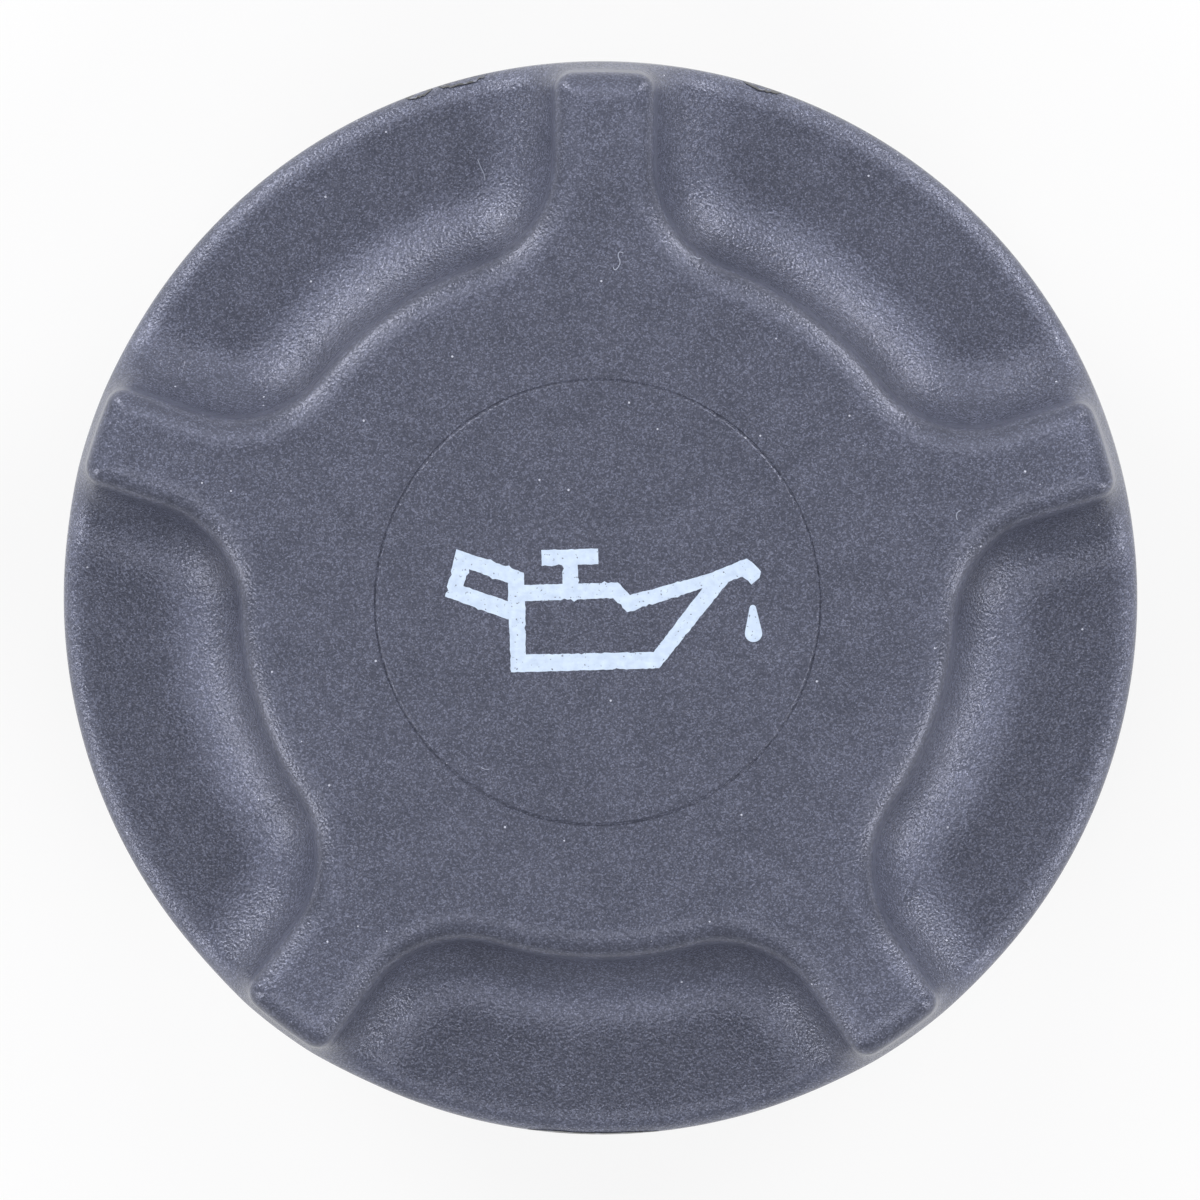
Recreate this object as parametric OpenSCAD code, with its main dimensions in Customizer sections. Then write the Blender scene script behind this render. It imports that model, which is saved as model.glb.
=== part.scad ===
// Filler cap for an engine's oil: a star-grip knob over a bayonet plug, with a rubber face seal.
// Lengths are in millimetres. Z points up, and the origin is on the axis at the plug's lower end.

/* [Knob] */
// Diameter over the rim, the widest part of the cap
cap_d = 66; // [60:0.5:72]
// Height of the knob from its flat top to the edge of its skirt
knob_h = 20; // [18:0.5:24]
// Wall of the moulded knob
wall = 2.6; // [2:0.1:3]
// Radius that rounds the rim above the parting line
rim_r = 1.5; // [0.8:0.1:2]
// How far the skirt draws in from the rim to its lower edge
skirt_taper = 0.4; // [0.1:0.1:0.8]
// Wall of the skirt at its lower edge
skirt_wall = 2.4; // [2:0.1:2.8]
// Bevel on both corners of the skirt's lower edge
skirt_bevel = 0.4; // [0.2:0.1:0.6]

/* [Finger recesses] */
// How many recesses, and so how many spokes, the star grip has
recess_count = 5; // [4:1:6]
// Depth of a recess below the flat top
recess_depth = 7.5; // [7:0.1:9]
// Diameter of the round hub that the recesses leave in the middle
hub_d = 44; // [42:0.5:46]
// Width of a spoke between two recesses
spoke_w = 6.4; // [5.8:0.1:7.4]
// Radius in plan of the corner between the hub and a spoke
corner_r = 6.75; // [5.5:0.25:7.5]
// Radius that rounds the upper edge of the star
edge_r = 1.6; // [1:0.1:2]
// Radius of the fillet between a recess's wall and its floor
floor_r = 4.8; // [3.5:0.1:5]
// Draft of the recess walls, in degrees
draft = 4; // [1:0.5:8]
// How far the spokes' outer ends stand back from the rim
end_inset = 0.6; // [0.3:0.1:1]
// Radius in plan of the two corners at a spoke's outer end
end_corner_r = 1.3; // [1.1:0.1:1.5]

/* [Centre mark] */
// Diameter of the fine circle that the mould's insert leaves in the flat top
insert_d = 27.2; // [24:0.2:30]
// Width of that fine circle
insert_line = 0.25; // [0.1:0.05:0.4]
// Depth of that fine circle
insert_depth = 0.1; // [0.05:0.05:0.3]

/* [Inside the knob] */
// Wall on each side of the slot that hollows out a spoke
spoke_wall = 2.1; // [1.8:0.1:2.3]
// How many of the short ribs inside the skirt carry a barb that holds the plug's flange
barb_count = 5; // [4:1:6]
// How many plain ribs, which centre the flange, stand between two with barbs
plain_rib_count = 2; // [1:1:3]
// Thickness of all those ribs
skirt_rib_t = 1.4; // [1:0.1:1.8]

/* [Bayonet plug] */
// How far the plug reaches below the edge of the skirt
plug_drop = 11; // [9:0.5:14]
// Diameter of the flange that closes the knob from below
flange_d = 54; // [53:0.5:56]
// Thickness of the flange and of the web that closes the plug
flange_t = 2.5; // [2:0.1:3]
// Diameter of the land that centres the plug in the filler neck
land_d = 41; // [40.5:0.1:41.5]
// Height of that land below the seal
land_h = 4; // [3.5:0.1:4.5]
// Diameter of the plug's neck below the land
neck_d = 36.6; // [35.6:0.2:37.6]
// Wall of the plug's neck
neck_wall = 2.5; // [2:0.1:3]
// Thickness of the crossed ribs inside the plug
rib_t = 1.8; // [1.4:0.1:2.2]
// How far the ribs stop short of the plug's lower end
rib_inset = 5; // [3:0.5:7]
// Diameter of the boss where the ribs cross
boss_d = 7; // [6:0.5:8]
// Height of the keys that turn the plug from inside the hollow spokes
key_h = 4; // [3:0.5:4.5]

/* [Bayonet lugs] */
// Number of lugs round the neck
lug_count = 3; // [2:1:4]
// Diameter over the lugs, a little less than the land so that they pass through the same bore
lug_d = 40.4; // [40:0.1:40.4]
// Angle that one lug takes up, in degrees
lug_angle = 40; // [30:1:44]
// Height of a lug
lug_h = 4; // [3:0.1:4.5]
// Distance from the seal's face down to the lugs' upper side
grip_h = 9; // [8.5:0.1:9.5]
// Slope of a lug's leading ramp, in degrees
ramp = 9; // [5:1:12]

/* [Seal] */
// Outer diameter of the rubber seal
seal_d = 52; // [50:0.5:52.5]
// Thickness of the seal
seal_t = 3; // [2.6:0.1:3.4]
// Bevel on the corners of the seal's lower face
seal_bevel = 0.8; // [0.6:0.1:1]

/* [Fits] */
// Clearance between the plug and the pieces that it carries or that hold it
fit = 0.15; // [0.1:0.05:0.25]
// How far the land and the snap barbs overlap what they hold back
catch = 0.4; // [0.3:0.1:0.5]

/* [Hidden] */
$fn = 96;
// Levels, from the plug's end up to the flat top
skirt_z = plug_drop;
top_z = skirt_z + knob_h;
floor_z = top_z - recess_depth;
deck_z = floor_z - wall;
flange_z = deck_z - flange_t;
seal_z = flange_z - seal_t;
land_z = seal_z - land_h;
lug_z = seal_z - grip_h - lug_h;
// Radii
cap_r = cap_d / 2;
end_r = cap_r - end_inset;
hub_r = hub_d / 2;
skirt_in_r = cap_r - skirt_taper - skirt_wall;
flange_r = flange_d / 2;
land_r = land_d / 2;
neck_r = neck_d / 2;
bore_r = neck_r - neck_wall;
seal_in_r = land_r - catch;
seal_r = seal_d / 2;
lug_r = lug_d / 2;
slot_w = spoke_w - 2 * spoke_wall;
// A rounding crosses the plane it ends in at a slight angle, by dipping this far through it
dip = 0.02;
// How far a cutting shape runs past what it cuts
past = 1;
// How far shapes that are joined lap over each other
overlap = 0.25;
// Angle by which a turned wedge runs past the wall that it meets
lap_a = 2;
// Angle by which the hub's wall stops short of the corners, which dip past its ends
short_a = 0.3;
// Lead-in chamfer on the plug's edges
lead = 0.6;
// Height of the step at the foot of a skirt rib
rib_foot = 0.7;

// Angles and places in one recess, which lies along +X between two spokes
half_pitch = 180 / recess_count;
corner_off = spoke_w / 2 + corner_r;
corner_x = sqrt(pow(hub_r + corner_r, 2) - pow(corner_off, 2));
corner_a = asin(corner_off / (hub_r + corner_r));
end_y = spoke_w / 2 - end_corner_r;
end_x = sqrt(pow(end_r - end_corner_r, 2) - pow(end_y, 2));

// Section of a recess: u runs outward from the foot of its wall, and v is height
wall_n = [cos(draft), sin(draft)];
fillet_c = [floor_r / cos(draft), floor_z + floor_r - dip];
edge_v = top_z - edge_r + dip;
edge_c = [(fillet_c[1] - edge_v) * tan(draft) - edge_r / cos(draft), edge_v];
floor_cut = floor_z - rim_r;

module recess_section(reach) {
    intersection() {
        translate([-cap_r, floor_cut]) square([cap_r + reach, top_z + past - floor_cut]);
        difference() {
            union() {
                polygon([
                    [edge_c[0], top_z + past], edge_c + [0, edge_r], edge_c + edge_r * wall_n,
                    fillet_c - floor_r * wall_n, fillet_c - [0, floor_r], [fillet_c[0], floor_cut],
                    [2 * cap_r, floor_cut], [2 * cap_r, top_z + past]
                ]);
                translate(fillet_c) circle(floor_r);
            }
            translate(edge_c) circle(edge_r);
        }
    }
}

// One side of a recess: its round corner and its wall along the spoke at the angle half_pitch
module recess_side() {
    rotate(half_pitch) {
        translate([corner_x, -corner_off, 0]) rotate_extrude() intersection() {
            square([cap_r, top_z + past]);
            translate([corner_r + dip, 0]) mirror([1, 0]) recess_section(corner_r + past);
        }
        translate([corner_x + overlap, 0, 0]) rotate([90, 0, 90]) linear_extrude(cap_r)
            mirror([1, 0]) translate([spoke_w / 2, 0]) recess_section(fillet_c[0] + 2 * overlap);
    }
}

// The round corner in plan at a spoke's outer end, cut by a section turned about the corner's centre
module recess_end() {
    rotate(half_pitch) translate([end_x, -end_y, 0]) rotate(-90 - lap_a)
        rotate_extrude(angle = 90 - atan2(end_y, end_x) + 2 * lap_a) intersection() {
            square([cap_r, top_z + past]);
            translate([end_corner_r + dip, 0]) recess_section(fillet_c[0] + 3 * overlap);
        }
}

// The wall of the round hub at the back of a recess
module recess_back() {
    sweep_a = half_pitch - corner_a - short_a;
    rotate(-sweep_a) rotate_extrude(angle = 2 * sweep_a) translate([hub_r, 0])
        recess_section(fillet_c[0] + 2 * overlap);
}

// The open middle of a recess, from its floor up
module recess_middle() {
    floor_off = spoke_w / 2 + fillet_c[0] + overlap;
    back_a = half_pitch - corner_a - lap_a;
    corner = turned([corner_x - 2 * overlap, -floor_off], half_pitch);
    half = [
        (hub_r + fillet_c[0] + overlap) * [cos(back_a), sin(back_a)],
        corner,
        corner + cap_r * [cos(half_pitch), sin(half_pitch)]
    ];
    translate([0, 0, floor_cut]) linear_extrude(top_z + past - floor_cut)
        polygon(concat(half, [for (i = [2 : -1 : 0]) flipped(half[i])]));
}

function turned(p, a) = [p[0] * cos(a) - p[1] * sin(a), p[0] * sin(a) + p[1] * cos(a)];
function flipped(p) = [p[0], -p[1]];

module recess() {
    recess_back();
    recess_middle();
    for (side = [0, 1]) mirror([0, side, 0]) {
        recess_side();
        recess_end();
    }
}

// The round blank that the recesses are cut from, with the same edge and draft where the spokes will end
module star_blank() {
    rotate_extrude() difference() {
        translate([0, floor_cut]) square([end_r, top_z - floor_cut]);
        translate([end_r, 0]) recess_section(past);
    }
}

// What a rounding of radius r takes off an upper outer corner of a turned profile
module corner_cut(center, r) {
    translate(center) difference() {
        square(r + past);
        circle(r);
    }
}

module star() {
    difference() {
        star_blank();
        for (i = [0 : recess_count - 1]) rotate(90 + (i + 0.5) * 360 / recess_count) recess();
    }
}

module base() {
    low_r = cap_r - skirt_taper;
    rotate_extrude() difference() {
        polygon([
            [0, deck_z], [0, floor_z], [cap_r, floor_z], [cap_r, floor_z - rim_r],
            [low_r, skirt_z + skirt_bevel], [low_r - skirt_bevel, skirt_z],
            [skirt_in_r + skirt_bevel, skirt_z], [skirt_in_r, skirt_z + skirt_bevel], [skirt_in_r, deck_z]
        ]);
        corner_cut([cap_r - rim_r, floor_z - rim_r], rim_r);
    }
}

// What is hollow inside the hub and the spokes, open towards the plug
module knob_hollow() {
    hollow_r = hub_r - wall;
    rotate_extrude() difference() {
        translate([0, deck_z - 2 * past]) square([hollow_r, top_z - wall - deck_z + 2 * past]);
        corner_cut([hollow_r - edge_r, top_z - wall - edge_r], edge_r);
    }
    at_spokes() translate([0, -slot_w / 2, deck_z - 2 * past])
        cube([end_r - wall, slot_w, top_z - wall - deck_z + 2 * past]);
}

module at_spokes() {
    for (i = [0 : recess_count - 1]) rotate(90 + i * 360 / recess_count) children();
}

// One short rib between the deck and the skirt, with a snap barb under the flange if it has one
module skirt_rib(barbed) {
    in_r = flange_r + fit;
    barb_z = flange_z - fit;
    barb = barbed ? [[in_r - fit - catch, barb_z], [in_r - fit - catch, barb_z - catch]] : [];
    rotate([90, 0, 0]) linear_extrude(skirt_rib_t, center = true) polygon(concat(
        [[in_r, deck_z + overlap], [in_r, barb_z]], barb,
        [[in_r, barb_z - 2 * rib_foot], [skirt_in_r - rib_foot, barb_z - 3 * rib_foot],
        [skirt_in_r + overlap, barb_z - 3 * rib_foot], [skirt_in_r + overlap, deck_z + overlap]]
    ));
}

module skirt_ribs() {
    pitch = 360 / barb_count;
    for (i = [0 : barb_count - 1], j = [0 : plain_rib_count])
        rotate(90 + pitch * (i + j / (plain_rib_count + 1))) skirt_rib(barbed = j == 0);
}

module insert_circle() {
    translate([0, 0, top_z - insert_depth]) difference() {
        cylinder(insert_depth + past, r = (insert_d + insert_line) / 2);
        translate([0, 0, -past]) cylinder(insert_depth + 3 * past, r = (insert_d - insert_line) / 2);
    }
}

module knob() {
    color("#454957") union() {
        difference() {
            union() { star(); base(); }
            knob_hollow();
            insert_circle();
        }
        skirt_ribs();
    }
}

// Flange, web, land and neck in one turned shape, hollow from below
module plug_shell() {
    groove_r = seal_in_r - fit;
    rotate_extrude() polygon([
        [0, deck_z], [flange_r, deck_z], [flange_r, flange_z], [groove_r, flange_z],
        [groove_r, seal_z + catch], [land_r, seal_z - fit], [land_r, land_z + lead],
        [land_r - lead, land_z], [neck_r, land_z], [neck_r, lead], [neck_r - lead, 0],
        [bore_r, 0], [bore_r, flange_z], [0, flange_z]
    ]);
}

module plug_ribs() {
    rib_h = flange_z - rib_inset + overlap;
    translate([0, 0, rib_inset]) {
        for (a = [0, 90]) rotate(a) translate([-bore_r - overlap, -rib_t / 2, 0])
            cube([2 * (bore_r + overlap), rib_t, rib_h]);
        cylinder(rib_h, d = boss_d);
    }
}

// A bayonet lug, whose upper side slopes down towards its leading end
module lug() {
    top = lug_z + lug_h;
    difference() {
        rotate_extrude(angle = lug_angle) polygon([
            [neck_r - overlap, lug_z], [lug_r - lead, lug_z], [lug_r, lug_z + lead],
            [lug_r, top], [neck_r - overlap, top]
        ]);
        rotate(lug_angle / 2) translate([bore_r, 0, top]) rotate([ramp, 0, 0]) translate([0, -land_r, 0])
            cube([neck_r, land_r, lug_h]);
    }
}

// A key that reaches up into a hollow spoke
module key() {
    translate([hub_r - wall, fit - slot_w / 2, deck_z - overlap])
        cube([flange_r - hub_r + wall - lead, slot_w - 2 * fit, key_h + overlap]);
}

module bayonet_plug() {
    color("#3b3e47") union() {
        plug_shell();
        plug_ribs();
        for (i = [0 : lug_count - 1]) rotate(90 + i * 360 / lug_count - lug_angle / 2) lug();
        at_spokes() key();
    }
}

module seal_ring() {
    color("#1d1e21") rotate_extrude() polygon([
        [seal_in_r, flange_z], [seal_in_r, seal_z + seal_bevel], [seal_in_r + seal_bevel, seal_z],
        [seal_r - seal_bevel, seal_z], [seal_r, seal_z + seal_bevel], [seal_r, flange_z]
    ]);
}

knob();
bayonet_plug();
seal_ring();
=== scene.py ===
"""Oil filler cap: a star-grip knob of grained nylon, a bayonet plug and a rubber seal, seen from above."""
import math

import bmesh
import bpy
import numpy as np
from mathutils import Matrix, Vector


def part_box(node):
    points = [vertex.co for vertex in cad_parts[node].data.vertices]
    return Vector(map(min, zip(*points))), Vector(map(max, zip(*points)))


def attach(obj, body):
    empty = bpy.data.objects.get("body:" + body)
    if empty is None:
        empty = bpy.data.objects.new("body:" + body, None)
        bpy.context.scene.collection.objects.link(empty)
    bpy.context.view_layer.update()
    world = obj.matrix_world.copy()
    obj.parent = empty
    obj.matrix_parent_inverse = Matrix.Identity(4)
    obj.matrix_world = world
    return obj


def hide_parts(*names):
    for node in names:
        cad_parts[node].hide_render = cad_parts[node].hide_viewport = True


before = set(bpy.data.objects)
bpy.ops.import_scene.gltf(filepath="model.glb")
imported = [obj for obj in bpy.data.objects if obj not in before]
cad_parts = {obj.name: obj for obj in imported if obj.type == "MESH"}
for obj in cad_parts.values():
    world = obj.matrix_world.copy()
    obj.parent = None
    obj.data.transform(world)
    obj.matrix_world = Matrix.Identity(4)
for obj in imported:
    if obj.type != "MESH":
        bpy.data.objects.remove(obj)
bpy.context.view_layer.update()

MM = 0.001
SCENE = bpy.context.scene

# Sizes of the knob in millimetres; the overall ones come from the frame
knob_low, knob_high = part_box("knob")
# The flat top lies this far below the frame's own, so that the print and the lint stay inside its box
SKIN = 0.08
# How far the star stands above the floor of the recesses, and the walls of the moulding
STAR_H = 7.5
WALL = 2.6
SKIRT_WALL = 2.8
CAP_R = knob_high.x / MM
TOP_Z = knob_high.z / MM - SKIN
SKIRT_Z = knob_low.z / MM
FLOOR_Z = knob_high.z / MM - STAR_H
DECK_Z = FLOOR_Z - WALL
RIM_R = 1.5
SKIRT_TAPER = 0.4
SKIRT_EDGE_R = 0.5
SKIRT_IN_R = CAP_R - SKIRT_WALL
HUB_R = 22.0
SPOKE_W = 6.4
CORNER_R = 6.75
# The star's upper edge: a soft crest, a slope, and a rounding from there into the drafted wall
CREST_R = 2.1
SLOPE = math.radians(30)
SLOPE_LENGTH = 0.25
BROW_R = 1.4
DRAFT = math.radians(4)
FLOOR_R = 4.7
# The spokes stop this far inside the rim; their end corners keep at least RIDGE_R on the inner outlines
END_STEP = 0.45
END_R = CAP_R - END_STEP
END_CORNER_R = 1.3
RIDGE_R = 0.25
HOLLOW_R = HUB_R - WALL
HOLLOW_Z = TOP_Z - WALL
# The mould's insert: its circle, the line that it leaves, and how far it stands above the rest of the top
INSERT_R = 13.6
INSERT_LINE = 0.26
INSERT_DEPTH = 0.09
INSERT_RISE = 0.035
INSERT_Z = TOP_Z + INSERT_RISE
INK = 0.02
RECESSES = 5

# Wear by fingers together with painted light and shade, 1 where it is full: a pale band of the fillet this
# far outside the wall's foot, partly wear and partly painted highlight, weaker beside the spokes, and the
# same on the spokes' tops and the rim;
# just outside the foot painted shade keeps it a bit darker
WEAR_AND_HIGHLIGHT_OFF = 3.0
WEAR_AND_HIGHLIGHT_WIDTH = 1.5
SPOKE_SIDE_WEAR_AND_HIGHLIGHT = 0.3
SPOKE_TOP_WEAR_AND_HIGHLIGHT = 0.2
RIM_WEAR_AND_HIGHLIGHT = 0.3
# Painted shade just outside the wall's foot: its strength, its distance from the foot and its width
SHADE = 0.04
SHADE_OFF = 0.6
SHADE_WIDTH = 0.7
# Painted light and shade down the star's edge, a painted highlight on its crest and painted shade on its
# brow, from the flat top at 0 to the wall's foot at 1
EDGE_DOWN = (0, 0.15, 0.35, 0.5, 0.75, 1)
EDGE_PAINTED_LIGHT = (0.08, 0.2, 0.2, -0.25, -0.15, 0.0)
# How smooth the grain is worn on each row of the edge
EDGE_POLISH = (0, 0, 0.1, 0.2, 0.2, 0.3, 0.3, 0.4, 0.4, 0.5) + (0.65,) * 9

# Rows on the edge's crest and brow, and from the wall's foot to the rim
CREST_ROWS = 7
BROW_ROWS = 10
BEND_ROWS = 32
EDGE_ROWS = CREST_ROWS + BROW_ROWS + 2
# Stations along half a recess: the spoke's end, its end corner, its side, the root corner and the hub;
# and the azimuths in degrees from the spoke between which they lie on the rim
STATIONS = (4, 10, 9, 16, 11)
RIM_TURNS = (0, 4, 9.5, 16.5, 24, 180 / RECESSES)

# Angles and places in one half of a recess, with the spoke along +X
HALF_PITCH = math.pi / RECESSES
CORNER_OFF = SPOKE_W / 2 + CORNER_R
CORNER_X = math.sqrt((HUB_R + CORNER_R) ** 2 - CORNER_OFF ** 2)
CORNER_A = math.asin(CORNER_OFF / (HUB_R + CORNER_R))
SPOKES = [math.radians(90) + 2 * HALF_PITCH * i for i in range(RECESSES)]

# Points of a mesh that lie closer together than this, in metres, are merged
DOUBLE = 2e-6


def linear(channel):
    return channel / 12.92 if channel <= 0.04045 else ((channel + 0.055) / 1.055) ** 2.4


def colour(hex_text):
    """An sRGB hex colour as linear RGBA."""
    parts = [int(hex_text[i:i + 2], 16) / 255 for i in (1, 3, 5)]
    return (*[linear(p) for p in parts], 1)


def stations(stretch, low, high):
    """The stations of one stretch of half a recess between two values; the last stretch keeps its end."""
    count = STATIONS[stretch]
    last = stretch == len(STATIONS) - 1
    return np.linspace(low, high, count if last else count + 1)[:count]


def arc(radius, angles, centre=(0, 0)):
    """Points in plan on an arc about a centre."""
    return np.stack([centre[0] + radius * np.cos(angles), centre[1] + radius * np.sin(angles)], -1)


def end_corner(u):
    """Centre and radius in plan of a spoke's end corner, on the outline offset by u."""
    radius = max(END_CORNER_R + u, RIDGE_R)
    y = SPOKE_W / 2 + u - radius
    x = math.sqrt((END_R + u - radius) ** 2 - y ** 2)
    return x, y, radius


def outline(u):
    """Half an outline of the star, offset by u: the end, its corner, the side, the root and the hub."""
    x, y, radius = end_corner(u)
    end_a = math.atan2(y, x)
    side = stations(2, x, CORNER_X)
    return np.concatenate([
        arc(END_R + u, stations(0, 0, end_a)),
        arc(radius, stations(1, end_a, math.pi / 2), (x, y)),
        np.stack([side, np.full_like(side, SPOKE_W / 2 + u)], -1),
        arc(CORNER_R - u, stations(3, -math.pi / 2, CORNER_A - math.pi), (CORNER_X, CORNER_OFF)),
        arc(HUB_R + u, stations(4, CORNER_A, HALF_PITCH))])


def foot_distance(points):
    """How far points in plan lie outside the star's foot line."""
    x, y = points[..., 0], points[..., 1]
    r, angle = np.hypot(x, y), np.arctan2(y, x)
    end_x, end_y, _ = end_corner(0)
    at_corner = np.where(
        angle < math.atan2(end_y, end_x), r - END_R, np.hypot(x - end_x, y - end_y) - END_CORNER_R)
    at_root = np.where(angle > CORNER_A, r - HUB_R, CORNER_R - np.hypot(x - CORNER_X, y - CORNER_OFF))
    return np.where(x > end_x, at_corner, np.where(x > CORNER_X, y - SPOKE_W / 2, at_root))


def relief(points):
    """Height of a recess at points in plan: its fillet and floor, and the rim's rounding that follows."""
    reach = FLOOR_R / math.cos(DRAFT)
    along = np.clip(reach - foot_distance(points), 0, FLOOR_R)
    over = np.clip(np.hypot(points[..., 0], points[..., 1]) - (CAP_R - RIM_R), 0, RIM_R)
    fillet = FLOOR_Z + FLOOR_R - np.sqrt(FLOOR_R ** 2 - along ** 2)
    return fillet - (RIM_R - np.sqrt(RIM_R ** 2 - over ** 2))


def at_height(plan, z):
    """Points in plan, all at one height."""
    return np.column_stack([plan, np.full(len(plan), z)])


def edge_rows(foot_u, foot_z):
    """Rows from the flat top over the star's edge to the foot of its wall."""
    edge = [(CREST_R * math.sin(t), CREST_R * (1 - math.cos(t))) for t in np.linspace(0, SLOPE, CREST_ROWS)]
    u = (CREST_R - BROW_R) * math.sin(SLOPE) + SLOPE_LENGTH * math.cos(SLOPE)
    v = CREST_R - (CREST_R - BROW_R) * math.cos(SLOPE) + SLOPE_LENGTH * math.sin(SLOPE)
    brow = np.linspace(SLOPE, math.pi / 2 - DRAFT, BROW_ROWS)
    edge += [(u + BROW_R * math.sin(t), v - BROW_R * math.cos(t)) for t in brow]
    out, down = edge[-1]
    inward = out + (TOP_Z - down - foot_z) * math.tan(DRAFT) - foot_u
    flat = 0.2
    rows = [at_height(outline(-inward - flat), TOP_Z)]
    rows += [at_height(outline(u - inward), TOP_Z - v) for u, v in edge]
    return rows + [at_height(outline(foot_u), foot_z)]


def bend_rows(foot_u, rim_a):
    """Rows outside the wall's foot, which bend from the wall's normal to their own places on the rim."""
    nudge, stiffness = 0.01, 0.45
    start, end = outline(foot_u), arc(CAP_R, rim_a)
    normal = (outline(foot_u + nudge) - start) / nudge
    length = np.linalg.norm(end - start, axis=1)[:, None]
    middle = start + normal * length * stiffness
    rows = []
    for k in range(1, BEND_ROWS + 1):
        t = 0.5 - 0.5 * math.cos(math.pi * k / BEND_ROWS)
        plan = (1 - t) ** 2 * start + 2 * t * (1 - t) * middle + t ** 2 * end
        rows.append(np.column_stack([plan, relief(plan)]))
    return rows


def skirt_rows(rim_a):
    """Rows down the skirt, round its lower edge, up inside it, and across the deck into the hollow."""
    rim_z, low_r, r = FLOOR_Z - RIM_R, CAP_R - SKIRT_TAPER, SKIRT_EDGE_R
    quarter = np.linspace(0, math.pi / 2, 6)
    places = [(CAP_R, rim_z - 0.15), (CAP_R - 0.03, rim_z - 0.3)]
    places += [(low_r + r * (math.cos(t) - 1), SKIRT_Z + r * (1 - math.sin(t))) for t in quarter]
    places += [(SKIRT_IN_R + r * (1 - math.sin(t)), SKIRT_Z + r * (1 - math.cos(t))) for t in quarter]
    places += [(SKIRT_IN_R, DECK_Z), (HOLLOW_R, DECK_Z)]
    places += [(radius, HOLLOW_Z) for radius in (HOLLOW_R, 12, 0)]
    return [at_height(arc(radius, rim_a), z) for radius, z in places]


def wear_and_painted_light_of(rows):
    """How pale or dark each place of half a recess is: paler from fingers' rubbing together with painted
    highlight, and darker with painted shade just outside the wall's foot and down the star's edge, which
    also has a painted highlight on its crest.
    """
    x = rows[..., 0]
    off = foot_distance(rows[..., :2])
    beside_hub = np.interp(x, (CORNER_X - 3, CORNER_X + 3), (1, SPOKE_SIDE_WEAR_AND_HIGHLIGHT))
    # A pale band of the fillet: fingers' wear together with a painted highlight
    wear_and_painted_light = beside_hub * np.exp(-((off - WEAR_AND_HIGHLIGHT_OFF) / WEAR_AND_HIGHLIGHT_WIDTH) ** 2)
    # Painted shade just outside the wall's foot, where the wall shades the fillet
    wear_and_painted_light -= SHADE * np.exp(-((off - SHADE_OFF) / SHADE_WIDTH) ** 2)
    # The rim paler: wear together with painted highlight
    wear_and_painted_light += RIM_WEAR_AND_HIGHLIGHT * np.interp(np.hypot(x, rows[..., 1]), (CAP_R - 1.6, CAP_R - 0.6), (0, 1))
    wear_and_painted_light *= rows[..., 2] > FLOOR_Z - RIM_R
    # Down the star's edge: a painted highlight on the crest and painted shade on the brow
    wear_and_painted_light[:EDGE_ROWS] = np.interp(np.linspace(0, 1, EDGE_ROWS), EDGE_DOWN, EDGE_PAINTED_LIGHT)[:, None]
    # The spokes' tops paler: wear together with painted highlight
    wear_and_painted_light[:EDGE_ROWS] += SPOKE_TOP_WEAR_AND_HIGHLIGHT * np.interp(x[:EDGE_ROWS], (CORNER_X - 2, CORNER_X + 2), (0, 1))
    return wear_and_painted_light


def half_recess():
    """Rows from the flat top's edge over the rim to the middle of the hollow: places, polish, and the
    paleness of fingers' rubbing with painted light and shade.
    """
    foot_u = FLOOR_R / math.cos(DRAFT) - FLOOR_R * math.cos(DRAFT)
    foot_z = FLOOR_Z + FLOOR_R * (1 - math.sin(DRAFT))
    turns = np.radians(RIM_TURNS)
    rim_a = np.concatenate([stations(i, turns[i], turns[i + 1]) for i in range(len(STATIONS))])
    rows = np.array(edge_rows(foot_u, foot_z) + bend_rows(foot_u, rim_a) + skirt_rows(rim_a))
    polish = np.zeros(rows.shape[:2])
    polish[:EDGE_ROWS] = np.array(EDGE_POLISH)[:, None]
    return np.dstack([rows * MM, polish, wear_and_painted_light_of(rows)])


def insert_disc():
    """Rows of points from the middle of the top over the fine circle that the mould's insert leaves."""
    angles = np.linspace(0, 2 * math.pi, 241)
    line, margin = INSERT_LINE / 2, 0.3
    groove = line * 0.3
    inner, outer = INSERT_R - line, INSERT_R + line
    places = [(radius, INSERT_Z) for radius in (0, 4, 8, inner - margin, inner)]
    places += [(INSERT_R - groove, INSERT_Z - INSERT_DEPTH), (INSERT_R + groove, TOP_Z - INSERT_DEPTH)]
    places += [(outer, TOP_Z), (outer + margin, TOP_Z)]
    rows = np.array([at_height(arc(radius, angles), z) for radius, z in places])
    return np.dstack([rows * MM, np.zeros((*rows.shape[:2], 2))])


def whole_turn(half):
    """The full ring of stations: half a recess, mirrored over its spoke and turned once for each recess."""
    columns = half.shape[2]
    mirror = np.diag([1, -1] + [1] * (columns - 2))
    sector = np.concatenate([half[:, :0:-1] @ mirror, half[:, :-1]], 1)
    turned = []
    for a in SPOKES:
        turn = np.eye(columns)
        turn[:2, :2] = [[math.cos(a), math.sin(a)], [-math.sin(a), math.cos(a)]]
        turned.append(sector @ turn)
    ring_rows = np.concatenate(turned, 1)
    return np.concatenate([ring_rows, ring_rows[:, :1]], 1)


def deselect():
    if bpy.context.object and bpy.context.object.mode == "EDIT":
        bpy.ops.object.mode_set(mode="OBJECT")
    bpy.ops.object.select_all(action="DESELECT")


def choose(piece, *others):
    """Selects pieces alone, the first one active."""
    deselect()
    for each in (piece, *others):
        each.select_set(True)
    bpy.context.view_layer.objects.active = piece


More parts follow.
